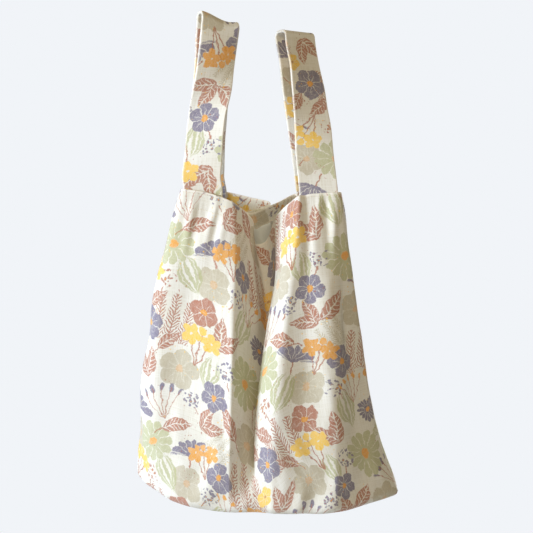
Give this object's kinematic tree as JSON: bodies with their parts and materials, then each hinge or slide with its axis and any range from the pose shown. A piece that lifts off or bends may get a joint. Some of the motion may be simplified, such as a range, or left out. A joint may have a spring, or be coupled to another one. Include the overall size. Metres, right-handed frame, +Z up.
{
  "type": "canvas lunch bag",
  "caption": "Unlined canvas lunch bag with wide handle loops, hanging folded from its handles, with a turned hem at the mouth and a boxed base.",
  "frame": {"origin": "middle of the hanging bar's top face, half way between the places where the handle loops lie on it", "axes": "+Z up, +X to the bag's right seen from the front, -Y the front"},
  "size_m": [0.2656, 0.1262, 0.4728],
  "materials": {
    "canvas": "printed slub canvas",
    "band": "printed slub canvas, folded to a band",
    "satin": "woven satin ribbon"
  },
  "bodies": {
    "bag": {"front_panel": "canvas", "back_panel": "canvas"},
    "handle_left": {"strap_left": "band"},
    "handle_right": {"strap_right": "band"},
    "tag": {"label": "satin"}
  },
  "joints": [
    {"name": "handle_left_lean", "type": "hinge", "parent": "bag", "child": "handle_left", "pos_m": [-0.0529, 0, -0.16], "axis": [0, 1, 0], "range_deg": [-9, 7], "stiffness_Nm_per_rad": 0.5},
    {"name": "handle_right_lean", "type": "hinge", "parent": "bag", "child": "handle_right", "pos_m": [0.0569, 0, -0.16], "axis": [0, -1, 0], "range_deg": [-9, 7], "stiffness_Nm_per_rad": 0.5},
    {"name": "label_flap", "type": "hinge", "parent": "bag", "child": "tag", "pos_m": [0.00119, 0.01407, -0.19312], "axis": [-0.8242, -0.4872, -0.2887], "range_deg": [0, 15]}
  ]
}
